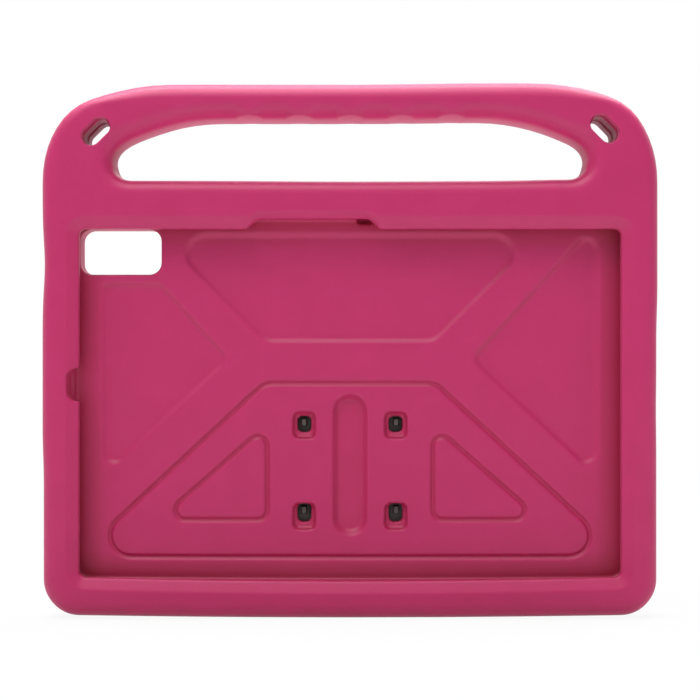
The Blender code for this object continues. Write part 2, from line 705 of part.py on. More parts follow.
def make_clip_plate(parts, cutters):
    """Make the clip plate: a slab with rounded corners and four tapered pegs that stand in the clip holes."""
    outline = centred_rectangle(0.0, CLIP_MIDDLE_Z, PLATE_WIDTH, PLATE_HEIGHT, PLATE_CORNER, PLATE_EDGE)
    plate = standing_slab("clip_plate", parts, outline, PLATE_FRONT_Y, REAR_Y, PLATE_EDGE, PLATE_EDGE)
    tip_y = POCKET_FLOOR_Y + PEG_BELOW_POCKET
    root_y = PLATE_FRONT_Y + PLATE_THICKNESS / 2
    for word, x, _, hole_z, hole_height in clip_places():
        z = hole_z + hole_height / 2 - PEG_BELOW_HOLE_TOP - PEG_HEIGHT / 2
        bpy.ops.mesh.primitive_cube_add(size=1.0, location=(x, (tip_y + root_y) / 2, z))
        peg = own_object(f"{word}_peg", cutters)
        peg.data.transform(Matrix.Diagonal((PEG_WIDTH, root_y - tip_y, PEG_HEIGHT, 1.0)))
        for corner in peg.data.vertices:
            if corner.co.y < 0:
                corner.co.x *= PEG_TAPER
                corner.co.z *= PEG_TAPER
        combine(plate, peg, "UNION")
    plate.data.materials.append(plain_material("plate_grey", PLATE_COLOUR, PLATE_ROUGHNESS))
    return plate


def main():
    """Build the case and its clip plate."""
    clear_scene()
    parts = new_collection("foam_tablet_case")
    cutters = new_collection("cutters")
    make_foam_case(parts, cutters)
    make_clip_plate(parts, cutters)


main()
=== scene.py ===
"""The looks of a foam tablet case: its moulded foam, the clip plate in its back and the studio round it.

Everything is in metres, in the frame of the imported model: X is the width, Z the height and -Y the front.
"""

import logging
import math
from dataclasses import dataclass, field
from enum import Enum
from typing import Any

import bmesh
import bpy
import numpy as np
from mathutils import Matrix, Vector, noise


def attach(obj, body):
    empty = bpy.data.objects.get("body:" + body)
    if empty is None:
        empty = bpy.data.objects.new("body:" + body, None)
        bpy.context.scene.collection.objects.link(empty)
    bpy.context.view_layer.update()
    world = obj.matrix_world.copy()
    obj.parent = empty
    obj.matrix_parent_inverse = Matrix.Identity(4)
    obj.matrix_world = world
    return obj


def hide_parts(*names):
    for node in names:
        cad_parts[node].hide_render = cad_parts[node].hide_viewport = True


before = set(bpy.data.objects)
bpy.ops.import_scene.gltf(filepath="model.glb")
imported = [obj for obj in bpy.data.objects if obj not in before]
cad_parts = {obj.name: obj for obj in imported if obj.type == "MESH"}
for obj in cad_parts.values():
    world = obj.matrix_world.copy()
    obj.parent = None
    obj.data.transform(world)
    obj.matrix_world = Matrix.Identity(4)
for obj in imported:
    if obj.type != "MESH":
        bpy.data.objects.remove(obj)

LOG = logging.getLogger("foam_tablet_case")
MM = 0.001
WELD = 0.000001
# Attribute of painted light on the strap slots' walls, standing in for light that comes through the slots.
PAINTED_THROUGH_LIGHT = "painted_through_light"

Point = tuple[float, float, float]
Span = tuple[float, float]
Colour = tuple[float, float, float, float]


class Node(Enum):
    """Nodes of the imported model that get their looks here."""

    CASE = "foam_case"
    PLATE = "clip_plate"


class Slot(Enum):
    """Material slots of the record."""

    FOAM = "foam"
    PLATE = "plate"


class Ray(Enum):
    """Kinds of ray that see the white background."""

    CAMERA = "Is Camera Ray"
    GLOSSY = "Is Glossy Ray"
    TRANSMISSION = "Is Transmission Ray"


def linear(colour: str) -> Colour:
    """Turn an sRGB colour into the linear values that a shader takes.

    Args:
        colour: Hex value such as "#c32162".

    Returns:
        Linear red, green, blue and an alpha of one.
    """
    levels = [int(colour[start:start + 2], 16) / 255 for start in (1, 3, 5)]
    red, green, blue = (
        level / 12.92 if level <= 0.04045 else ((level + 0.055) / 1.055) ** 2.4 for level in levels
    )
    return red, green, blue, 1.0


def add_node(
    tree: bpy.types.NodeTree, kind: str, inputs: dict[Any, Any] | None = None, **settings: Any,
) -> Any:
    """Add a node to a tree, with its settings, values and links.

    Args:
        tree: Tree that gets the node.
        kind: Blender's name of the node's type.
        inputs: Input name or number, with the value or the output socket that it takes.
        **settings: Properties of the node.

    Returns:
        The new node.
    """
    made = tree.nodes.new(kind)
    for name, value in settings.items():
        setattr(made, name, value)
    for key, value in (inputs or {}).items():
        if isinstance(value, bpy.types.NodeSocket):
            tree.links.new(value, made.inputs[key])
        else:
            made.inputs[key].default_value = value
    return made


def per_metre(size_mm: float) -> float:
    """Return the pattern scale that repeats at this size in millimetres."""
    return 1.0 / (size_mm * MM)


def new_material(name: str) -> tuple[bpy.types.Material, bpy.types.NodeTree, Any]:
    """Make an empty node material.

    Args:
        name: Name of the finish.

    Returns:
        The material, its tree and its output node.
    """
    material = bpy.data.materials.new(name)
    material.use_nodes = True
    tree = material.node_tree
    tree.nodes.clear()
    output = add_node(tree, "ShaderNodeOutputMaterial")
    return material, tree, output


def linked_object(name: str, data: Any) -> bpy.types.Object:
    """Make an object at the origin and link it to the scene.

    Args:
        name: Name of the object.
        data: Mesh, lamp or camera that it shows.

    Returns:
        The new object.
    """
    made = bpy.data.objects.new(name, data)
    bpy.context.scene.collection.objects.link(made)
    return made


def copy_of_node(node: Node, name: str) -> bpy.types.Object:
    """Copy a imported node's mesh into an object of its own, with its loose triangles merged.

    Args:
        node: Node to copy.
        name: Name of the new object.

    Returns:
        The new object.
    """
    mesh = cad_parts[node.value].data.copy()
    mesh.name = name
    mesh.materials.clear()
    for attribute in [layer.name for layer in mesh.attributes if "normal" in layer.name]:
        mesh.attributes.remove(mesh.attributes[attribute])
    shape = bmesh.new()
    shape.from_mesh(mesh)
    bmesh.ops.remove_doubles(shape, verts=shape.verts, dist=WELD)
    shape.to_mesh(mesh)
    shape.free()
    return linked_object(name, mesh)


def apply_modifiers(target: bpy.types.Object) -> None:
    """Replace an object's mesh by its evaluated shape and clear its modifiers.

    Args:
        target: Object whose modifiers are applied.
    """
    bpy.context.view_layer.update()
    evaluated = target.evaluated_get(bpy.context.evaluated_depsgraph_get())
    mesh = bpy.data.meshes.new_from_object(evaluated)
    mesh.name = target.name
    target.modifiers.clear()
    target.data = mesh


def corner_values(mesh: bpy.types.Mesh, name: str) -> np.ndarray:
    """Read a vector of each corner of a mesh.

    Args:
        mesh: Mesh to read.
        name: "co" for the corners' places or "normal" for the directions that they face.

    Returns:
        The vectors, one in each row.
    """
    flat = np.empty(len(mesh.vertices) * 3)
    mesh.vertices.foreach_get(name, flat)
    return flat.reshape(-1, 3)


def rising(values: np.ndarray, span: Span) -> np.ndarray:
    """Weigh values from 0 before a span to 1 after it, with a smooth rise in it.

    Args:
        values: Values to weigh.
        span: Start and end of the rise.

    Returns:
        The weights.
    """
    share = np.clip((values - span[0]) / (span[1] - span[0]), 0.0, 1.0)
    return share * share * (3.0 - 2.0 * share)


def falling(values: np.ndarray, span: Span) -> np.ndarray:
    """Return weights that fall smoothly from 1 before a span to 0 after it."""
    return 1 - rising(values, span)


@dataclass(frozen=True)
class MouldedFoam:
    """Closed-cell EVA foam, moulded in a polished tool.

    Its skin is smooth and satin: a soft broad shine on a saturated colour, over a very fine, uneven grain.
    Its colour is painted deeper and redder in hollows, creases and under the lips: painted shade that stands
    in for the shade there and the red light bounced in. The strap slots' walls are painted paler again, as
    painted light from behind.
    The real grain is too fine for the picture to show. It is drawn coarser here, at 0.9 and 0.45 mm.
    """

    name: str = "Moulded EVA foam, pink"
    colour: str = "#c12064"
    deep_colour: str = "#bf1f62"
    pale_colour: str = "#c32266"
    # Painted shade: the colour is mixed towards this dark red where the occlusion below finds hollows,
    # creases and the undersides of the lips.
    painted_shade_colour: str = "#a2053a"
    painted_shade_reach_mm: float = 14.0
    painted_shade_range: Span = (0.50, 0.90)
    roughness: float = 0.47
    roughness_spread: float = 0.02
    gloss_range: Span = (0.3, 0.7)
    ior: float = 1.5
    sheen: float = 0.08
    cloud_mm: float = 14.0
    cloud_range: Span = (0.32, 0.68)
    grain_mm: float = 0.9
    pore_mm: float = 0.45
    grain_height_mm: float = 0.030
    pore_height_mm: float = 0.012

    def material(self) -> bpy.types.Material:
        """Build the material.

        Returns:
            The foam's material.
        """
        material, tree, output = new_material(self.name)
        place = add_node(tree, "ShaderNodeTexCoord").outputs["Object"]
        cloud = add_node(
            tree, "ShaderNodeTexNoise",
            {"Vector": place, "Scale": per_metre(self.cloud_mm), "Detail": 3.0, "Roughness": 0.55},
        )
        low, high = self.cloud_range
        tint = add_node(tree, "ShaderNodeValToRGB", {"Fac": cloud.outputs["Fac"]})
        tint.color_ramp.elements[0].position = low
        tint.color_ramp.elements[0].color = linear(self.deep_colour)
        tint.color_ramp.elements[1].position = high
        tint.color_ramp.elements[1].color = linear(self.pale_colour)
        middle = tint.color_ramp.elements.new((low + high) / 2)
        middle.color = linear(self.colour)
        # Painted shade: ambient occlusion darkens the colour in hollows and creases, where shade falls.
        shade_occlusion = add_node(
            tree, "ShaderNodeAmbientOcclusion", {"Distance": self.painted_shade_reach_mm * MM},
            samples=2, only_local=True,
        )
        deep, open_to_light = self.painted_shade_range
        painted_light_share = add_node(
            tree, "ShaderNodeMapRange",
            {"Value": shade_occlusion.outputs["AO"], "From Min": deep, "From Max": open_to_light},
        )
        # Painted light: the strap slots' walls are painted paler, as if light came through the slots from
        # behind.
        painted_through_light = add_node(tree, "ShaderNodeAttribute", attribute_name=PAINTED_THROUGH_LIGHT)
        painted_light_level = add_node(
            tree, "ShaderNodeMath", {0: painted_light_share.outputs["Result"], 1: painted_through_light.outputs["Fac"]},
            operation="MAXIMUM",
        )
        # Mix of the painted shade colour and the foam's own tint, by how much occlusion each place has.
        skin = add_node(
            tree, "ShaderNodeMix",
            {0: painted_light_level.outputs["Value"], 6: linear(self.painted_shade_colour), 7: tint.outputs["Color"]},
            data_type="RGBA",
        )
        grain = add_node(
            tree, "ShaderNodeTexNoise",
            {"Vector": place, "Scale": per_metre(self.grain_mm), "Detail": 2.0, "Roughness": 0.5},
        )
        pores = add_node(
            tree, "ShaderNodeTexVoronoi", {"Vector": place, "Scale": per_metre(self.pore_mm)},
            feature="SMOOTH_F1",
        )
        shiny, dull = self.gloss_range
        gloss = add_node(
            tree, "ShaderNodeMapRange",
            {
                "Value": cloud.outputs["Fac"], "From Min": shiny, "From Max": dull,
                "To Min": self.roughness - self.roughness_spread,
                "To Max": self.roughness + self.roughness_spread,
            },
        )
        fine = add_node(
            tree, "ShaderNodeBump",
            {"Height": pores.outputs["Distance"], "Distance": self.pore_height_mm * MM, "Strength": 1.0},
        )
        rough = add_node(
            tree, "ShaderNodeBump",
            {
                "Height": grain.outputs["Fac"], "Distance": self.grain_height_mm * MM, "Strength": 1.0,
                "Normal": fine.outputs["Normal"],
            },
        )
        foam = add_node(
            tree, "ShaderNodeBsdfPrincipled",
            {
                "Base Color": skin.outputs[2], "Roughness": gloss.outputs["Result"],
                "Normal": rough.outputs["Normal"], "IOR": self.ior, "Metallic": 0.0,
                "Sheen Weight": self.sheen, "Sheen Roughness": 0.5,
            },
        )
        tree.links.new(foam.outputs["BSDF"], output.inputs["Surface"])
        return material


@dataclass(frozen=True)
class MouldedPlastic:
    """ABS, injection moulded with a fine spark-eroded texture.

    It is a warm dark grey, duller than the foam, with tiny even pits that break up its shine.
    Down in the clip holes its colour is painted nearly black, as painted shade, so that only the tips of the
    pegs show the plate's own grey.
    The real pits are too fine for the picture to show. They are drawn coarser here, at 0.5 mm.
    """

    name: str = "Moulded ABS, warm dark grey"
    colour: str = "#49433f"
    pale_colour: str = "#524b46"
    # Painted shade: the colour is mixed towards this near black down in the clip holes.
    painted_shade_colour: str = "#1c0b0e"
    painted_shade_reach_mm: float = 4.0
    painted_shade_range: Span = (0.25, 0.75)
    roughness: float = 0.48
    cloud_mm: float = 9.0
    cloud_range: Span = (0.35, 0.65)
    pit_mm: float = 0.5
    pit_height_mm: float = 0.02

    def material(self) -> bpy.types.Material:
        """Build the material.

        Returns:
            The plastic's material.
        """
        material, tree, output = new_material(self.name)
        place = add_node(tree, "ShaderNodeTexCoord").outputs["Object"]
        cloud = add_node(
            tree, "ShaderNodeTexNoise", {"Vector": place, "Scale": per_metre(self.cloud_mm), "Detail": 2.0},
        )
        low, high = self.cloud_range
        tint = add_node(tree, "ShaderNodeValToRGB", {"Fac": cloud.outputs["Fac"]})
        tint.color_ramp.elements[0].position = low
        tint.color_ramp.elements[0].color = linear(self.colour)
        tint.color_ramp.elements[1].position = high
        tint.color_ramp.elements[1].color = linear(self.pale_colour)
        pits = add_node(
            tree, "ShaderNodeTexNoise", {"Vector": place, "Scale": per_metre(self.pit_mm), "Detail": 1.0},
        )
        bump = add_node(
            tree, "ShaderNodeBump",
            {"Height": pits.outputs["Fac"], "Distance": self.pit_height_mm * MM, "Strength": 1.0},
        )
        # Painted shade: ambient occlusion darkens the plastic down in the clip holes, where shade falls.
        shade_occlusion = add_node(
            tree, "ShaderNodeAmbientOcclusion", {"Distance": self.painted_shade_reach_mm * MM}, samples=2,
        )
        deep, open_to_light = self.painted_shade_range
        painted_light_share = add_node(
            tree, "ShaderNodeMapRange",
            {"Value": shade_occlusion.outputs["AO"], "From Min": deep, "From Max": open_to_light},
        )
        # Mix of the painted shade colour and the plastic's own tint.
        skin = add_node(
            tree, "ShaderNodeMix",
            {0: painted_light_share.outputs["Result"], 6: linear(self.painted_shade_colour), 7: tint.outputs["Color"]},
            data_type="RGBA",
        )
        plastic = add_node(
            tree, "ShaderNodeBsdfPrincipled",
            {
                "Base Color": skin.outputs[2], "Roughness": self.roughness,
                "Normal": bump.outputs["Normal"], "IOR": 1.5, "Metallic": 0.0,
            },
        )
        tree.links.new(plastic.outputs["BSDF"], output.inputs["Surface"])
        return material


@dataclass(frozen=True)
class Easing:
    """A soft move of the shell round one place, where the real moulding has sagged or shrunk a little.

    Inside the core it moves by the whole shift, and outside it the shift fades away over its reach.
    """

    centre: tuple[float, float]
    reach: tuple[float, float]
    shift_mm: tuple[float, float]
    core: float = 0.0

    def move(self, points: np.ndarray) -> None:
        """Move the points.

        Args:
            points: Points, one in each row, which are changed.
        """
        across = (points[:, 0] - self.centre[0]) / self.reach[0]
        up = (points[:, 2] - self.centre[1]) / self.reach[1]
        beyond = np.maximum(np.sqrt(across ** 2 + up ** 2) - self.core, 0.0)
        weight = np.exp(-beyond ** 2)
        points[:, 0] += weight * self.shift_mm[0] * MM
        points[:, 2] += weight * self.shift_mm[1] * MM


@dataclass(frozen=True)
class Draft:
    """The taper that lets the moulding leave its tool: what lies deeper is a little closer to the middle.

    The outer wall stays as it is, and so does everything at one depth near the front.
    """

    middle_z: float = 0.1245
    front_y: float = -0.0115
    still_depth: float = 0.0065
    near_focus: float = 0.520
    far_focus: float = 0.900
    wall: float = 0.012
    skin: float = 0.003

    def move(self, points: np.ndarray, half_width: float, top: float) -> None:
        """Taper the points.

        Args:
            points: Points, one in each row, which are changed.
            half_width: Half the width of the whole moulding.
            top: Height of the whole moulding.
        """
        depth = points[:, 1] - self.front_y
        growth = (self.far_focus + depth) / (self.near_focus + depth)
        still = (self.far_focus + self.still_depth) / (self.near_focus + self.still_depth)
        share = growth / still - 1.0
        inside = falling(np.abs(points[:, 0]), (half_width - self.wall, half_width - self.skin))
        inside *= falling(points[:, 2], (top - self.wall, top - self.skin))
        inside *= rising(points[:, 2], (self.skin, self.wall))
        points[:, 0] += inside * share * points[:, 0]
        points[:, 2] += inside * share * (points[:, 2] - self.middle_z)


@dataclass(frozen=True)
class FingerDents:
    """The finger dents under the bar, which the soft foam shows only as very shallow hollows."""

    count: int = 5
    pitch: float = 0.0234
    radius: float = 0.010
    front_depth: float = 0.0026
    rear_depth: float = 0.0005
    base_z: float = 0.2325
    half_depth: float = 0.0115
    kept: float = 0.14
    below: Span = (-0.004, -0.002)
    fade: float = 0.0055

    def move(self, points: np.ndarray) -> None:
        """Fill the dents in by most of their depth.

        Args:
            points: Points, one in each row, which are changed.
        """
        share = (points[:, 1] + self.half_depth) / (2 * self.half_depth)
        depth = self.front_depth + (self.rear_depth - self.front_depth) * share
        for index in range(self.count):
            across = points[:, 0] - (index - (self.count - 1) / 2) * self.pitch
            reach = np.sqrt(np.maximum(self.radius ** 2 - across ** 2, 0.0))
            dent = np.maximum(reach - (self.radius - depth), 0.0)
            above = points[:, 2] - self.base_z
            fading = rising(above, self.below) * falling(above - dent, (0.0, self.fade))
            points[:, 2] -= fading * (1 - self.kept) * dent


@dataclass(frozen=True)
class StrapFunnels:
    """The funnels at the front of the two slanted strap slots, and the painted light on the slots' walls that
    stands in for the light falling through the slots.
    """

    centre: tuple[float, float] = (0.117, 0.2244)
    straight_half: float = 0.0032
    pull: float = 0.0011
    pull_starts: Span = (0.0042, 0.0056)
    pull_ends: Span = (0.0060, 0.0100)
    front: Span = (-0.0090, -0.0060)
    least_away: float = 0.001
    # Painted light: its strength on the slots' walls, and the distances over which it fades.
    light: float = 0.75
    painted_light_ends: Span = (0.009, 0.0126)

    def move(self, points: np.ndarray) -> None:
        """Draw each funnel in by about a millimetre.

        Args:
            points: Points, one in each row, which are changed.
        """
        front = falling(points[:, 1], self.front)
        for side in (-1, 1):
            right = points[:, 0] - side * self.centre[0]
            up = points[:, 2] - self.centre[1]
            along = (up - side * right) / math.sqrt(2)
            across = (right + side * up) / math.sqrt(2)
            over = along - np.clip(along, -self.straight_half, self.straight_half)
            away = np.maximum(np.hypot(over, across), self.least_away)
            share = self.pull * rising(away, self.pull_starts) * falling(away, self.pull_ends) * front / away
            along -= over * share
            across -= across * share
            points[:, 0] = side * self.centre[0] + (across - side * along) / math.sqrt(2)
            points[:, 2] = self.centre[1] + (along + side * across) / math.sqrt(2)

    def mark(self, mesh: bpy.types.Mesh) -> None:
        """Mark the slots' walls for painted light, standing in for the light that reaches them from behind as
        well.

        Args:
            mesh: The shell's mesh, which gets the mark as an attribute.
        """
        points = corner_values(mesh, "co")
        away = np.hypot(np.abs(points[:, 0]) - self.centre[0], points[:, 2] - self.centre[1])
        # Painted light: strongest round each slot, fading away beyond it.
        painted_light_level = self.light * falling(away, self.painted_light_ends)
        mesh.attributes.new(PAINTED_THROUGH_LIGHT, "FLOAT", "POINT").data.foreach_set("value", painted_light_level)


@dataclass(frozen=True)
class OpeningSwell:
    """The slight swell of the handle opening's wall half way through, everywhere but at its base."""

    height: float = 0.0011
    half_depth: float = 0.0095
    upward: Span = (0.3, 0.7)
    side_ends: Span = (0.1120, 0.1128)
    starts_at: Span = (0.2045, 0.2070)
    ends_at: Span = (0.2365, 0.2380)

    def move(self, points: np.ndarray, directions: np.ndarray) -> None:
        """Swell the wall.

        Args:
            points: Points, one in each row, which are changed.
            directions: The directions that the surface faces there.
        """
        swell = np.clip(1 - (points[:, 1] / self.half_depth) ** 2, 0.0, 1.0)
        swell *= (1 - directions[:, 1] ** 2) * falling(directions[:, 2], self.upward)
        swell *= falling(np.abs(points[:, 0]), self.side_ends)
        swell *= rising(points[:, 2], self.starts_at) * falling(points[:, 2], self.ends_at)
        points[:, 0] += swell * self.height * directions[:, 0]
        points[:, 2] += swell * self.height * directions[:, 2]


@dataclass(frozen=True)
class BarRounding:
    """The bar's further rounding towards its top, from both faces."""

    share: float = 0.095
    height: float = 0.011

    def move(self, points: np.ndarray, top: float) -> None:
        """Draw the two faces together towards the top.

        Args:
            points: Points, one in each row, which are changed.
            top: Height of the whole moulding.
        """
        rise = np.clip((points[:, 2] - top + self.height) / self.height, 0.0, 1.0)
        points[:, 1] *= 1 - self.share * rise ** 2


@dataclass(frozen=True)
class BottomLipSag:
    """The sag of the bottom lip's edge: 0.8 mm at its ends and 1.9 mm in its middle."""

    end_mm: float = 0.8
    middle_more_mm: float = 1.1
    half_length: float = 0.122
    starts_at: Span = (0.004, 0.0125)
    ends_at: Span = (0.022, 0.050)
    depth: Span = (-0.0056, -0.0020)
    side_ends: Span = (0.124, 0.134)

    def move(self, points: np.ndarray) -> None:
        """Lower the lip's edge.

        Args:
            points: Points, one in each row, which are changed.
        """
        across = np.abs(points[:, 0])
        drop = self.end_mm + self.middle_more_mm * (1 - np.minimum(across / self.half_length, 1.0) ** 2)
        weight = rising(points[:, 2], self.starts_at) * falling(points[:, 2], self.ends_at)
        weight *= falling(points[:, 1], self.depth) * falling(across, self.side_ends)
        points[:, 2] -= weight * drop * MM


@dataclass(frozen=True)
class CutbackSlope:
    """The soft slope at one end of the top lip's cut-back, whose step is moved apart at its foot and head."""

    place: float
    low_mm: float
    high_mm: float
    step_base: float = 0.1796
    step_height: float = 0.0047
    reach: float = 0.007
    starts_at: Span = (0.172, 0.177)
    ends_at: Span = (0.188, 0.198)
    depth: Span = (-0.0056, -0.0020)

    def move(self, points: np.ndarray) -> None:
        """Slope the step.

        Args:
            points: Points, one in each row, which are changed.
        """
        share = np.clip((points[:, 2] - self.step_base) / self.step_height, 0.0, 1.0)
        near = np.exp(-((points[:, 0] - self.place) / self.reach) ** 2) * falling(points[:, 2], self.ends_at)
        near *= rising(points[:, 2], self.starts_at) * falling(points[:, 1], self.depth)
        points[:, 0] += near * (self.low_mm + (self.high_mm - self.low_mm) * share) * MM


@dataclass(frozen=True)
class WallRelief:
    """The back wall's panels and grooves, a fifth deeper, as their soft edges make them look shallow."""

    gain: float = 0.18
    floor_y: float = 0.0013
    deepest: float = 0.0013
    half_width: float = 0.128
    base_z: float = 0.017
    top_z: float = 0.185
    fades: Span = (0.0030, 0.0080)

    def move(self, points: np.ndarray) -> None:
        """Deepen the relief.

        Args:
            points: Points, one in each row, which are changed.
        """
        depth = np.clip(points[:, 1] - self.floor_y, 0.0, self.deepest)
        inside = np.abs(points[:, 0]) < self.half_width
        inside &= (points[:, 2] > self.base_z) & (points[:, 2] < self.top_z)
        points[:, 1] += self.gain * depth * inside * falling(points[:, 1], self.fades)


@dataclass(frozen=True)
class SideSag:
    """The sag of one outer side's lower part towards the middle."""

    side: int
    sag_mm: float
    ends_at: Span
    outer_part: Span = (0.014, 0.002)

    def move(self, points: np.ndarray, half_width: float) -> None:
        """Draw the side in.

        Args:
            points: Points, one in each row, which are changed.
            half_width: Half the width of the whole moulding.
        """
        inner, outer = self.outer_part
        weight = rising(np.abs(points[:, 0]), (half_width - inner, half_width - outer))
        weight *= (points[:, 0] * self.side > 0) * falling(points[:, 2], self.ends_at)
        points[:, 0] -= self.side * weight * self.sag_mm * MM


@dataclass(frozen=True)
class TopSag:
    """The sag of the handle's top on its left and in its middle."""

    sag_mm: float = 0.68
    ends_at: Span = (0.0, 0.065)
    upper_part: Span = (0.012, 0.002)

    def move(self, points: np.ndarray, top: float) -> None:
        """Lower the top.

        Args:
            points: Points, one in each row, which are changed.
            top: Height of the whole moulding.
        """
        low, high = self.upper_part
        upper = rising(points[:, 2], (top - low, top - high))
        points[:, 2] -= upper * falling(points[:, 0], self.ends_at) * self.sag_mm * MM


@dataclass(frozen=True)
class BaseBow:
    """The bow of the bottom edge, whose two ends stand a little higher than its middle."""

    height: float = 0.0009
    half_length: float = 0.117
    most: float = 1.15
    fades_at: float = 0.045

    def move(self, points: np.ndarray) -> None:
        """Lift the two ends.

        Args:
            points: Points, one in each row, which are changed.
        """
        share = np.minimum(np.abs(points[:, 0]) / self.half_length, self.most)
        points[:, 2] += falling(points[:, 2], (0.0, self.fades_at)) * self.height * share ** 2


@dataclass
class FoamShell:
    """The foam moulding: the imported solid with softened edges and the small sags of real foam."""

    finish: MouldedFoam = field(default_factory=MouldedFoam)
    voxel: float = 0.0006
    smoothings: int = 5
    smooth_factor: float = 0.5
    kept_share: float = 0.17
    inset: float = 0.00030
    inset_y: float = 0.00015
    wave_height: float = 0.00010
    wave_length: float = 0.028
    dents: FingerDents = FingerDents()
    funnels: StrapFunnels = StrapFunnels()
    swell: OpeningSwell = OpeningSwell()
    rounding: BarRounding = BarRounding()
    draft: Draft = Draft()
    lip_sag: BottomLipSag = BottomLipSag()
    slopes: tuple[CutbackSlope, ...] = (CutbackSlope(-0.0455, -3.0, 1.1), CutbackSlope(0.0130, 1.1, -2.0))
    relief: WallRelief = WallRelief()
    side_sags: tuple[SideSag, ...] = (SideSag(-1, 0.55, (0.062, 0.088)), SideSag(1, 0.50, (0.130, 0.155)))
    top_sag: TopSag = TopSag()
    easings: tuple[Easing, ...] = (
        Easing((-0.1431, 0.1641), (0.012, 0.0150), (1.00, 0.0)),
        Easing((0.1431, 0.0965), (0.010, 0.0120), (-0.20, 0.0)),
        Easing((-0.112, 0.2440), (0.020, 0.0120), (0.30, -0.60)),
        Easing((0.128, 0.2365), (0.016, 0.0140), (0.55, 0.45)),
        Easing((0.100, 0.2033), (0.022, 0.0090), (0.0, 0.55)),
        Easing((0.000, 0.2033), (0.050, 0.0090), (0.0, -0.35)),
        Easing((0.060, 0.2325), (0.030, 0.0060), (0.0, 0.50)),
        Easing((-0.092, 0.2270), (0.014, 0.0080), (0.20, -0.50)),
        Easing((-0.117, 0.2250), (0.008, 0.0080), (-0.10, 0.90), 0.85),
        Easing((0.117, 0.2255), (0.008, 0.0080), (0.10, 2.00), 0.85),
    )
    base_bow: BaseBow = BaseBow()

    def build(self) -> bpy.types.Object:
        """Build the shell and dress it.

        Returns:
            The shell.
        """
        shell = copy_of_node(Node.CASE, "foam_shell")
        self.soften(shell)
        self.settle(shell.data)
        self.thin_out(shell)
        self.funnels.mark(shell.data)
        shell.data.shade_smooth()
        shell.data.materials.append(self.finish.material())
        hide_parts(Node.CASE.value)
        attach(shell, "root")
        return shell

    def soften(self, shell: bpy.types.Object) -> None:
        """Rebuild the solid as an even fine mesh and round its edges, as moulded foam has them.

        Args:
            shell: The shell's object.
        """
        remesh = shell.modifiers.new("even_mesh", "REMESH")
        remesh.mode = "VOXEL"
        remesh.voxel_size = self.voxel
        smooth = shell.modifiers.new("soft_edges", "SMOOTH")
        smooth.factor = self.smooth_factor
        smooth.iterations = self.smoothings
        apply_modifiers(shell)

    def settle(self, mesh: bpy.types.Mesh) -> None:
        """Move the mesh's corners to the slightly uneven shape of the real moulding.

        Args:
            mesh: The shell's mesh.
        """
        points = corner_values(mesh, "co")
        directions = corner_values(mesh, "normal")
        half_width = points[:, 0].max()
        top = points[:, 2].max()
        self.dents.move(points)
        self.funnels.move(points)
        self.swell.move(points, directions)
        self.rounding.move(points, top)
        self.draft.move(points, half_width, top)
        self.lip_sag.move(points)
        for slope in self.slopes:
            slope.move(points)
        self.relief.move(points)
        for sag in self.side_sags:
            sag.move(points, half_width)
        self.top_sag.move(points, top)
        for easing in self.easings:
            easing.move(points)
        self.base_bow.move(points)
        self.keep_in_box(points, half_width, top)
        self.ripple(points)
        mesh.vertices.foreach_set("co", points.ravel())
        mesh.update()

    def keep_in_box(self, points: np.ndarray, half_width: float, top: float) -> None:
        """Draw the shell in a little, so that its waves and the parting bead stay in the solid's box.

        Args:
            points: Points, one in each row, which are changed.
            half_width: Half the width of the whole moulding.
            top: Height of the whole moulding.
        """
        points[:, 0] *= (half_width - self.inset) / half_width
        points[:, 1] *= 1 - self.inset_y / np.abs(points[:, 1]).max()
        points[:, 2] = self.inset + points[:, 2] * (top - 2 * self.inset) / top

    def ripple(self, points: np.ndarray) -> None:
        """Give the front and back faces a very low, wide waviness.

        Args:
            points: Points, one in each row, which are changed.
        """
        scale = 1.0 / self.wave_length
        for index, (x, y, z) in enumerate(points):
            points[index, 1] += self.wave_height * noise.noise(Vector((x * scale, y * scale, z * scale)))

    def thin_out(self, shell: bpy.types.Object) -> None:
        """Take out the corners that flat stretches don't need.

        Args:
            shell: The shell's object.
        """
        thinner = shell.modifiers.new("fewer_faces", "DECIMATE")
        thinner.ratio = self.kept_share
        apply_modifiers(shell)


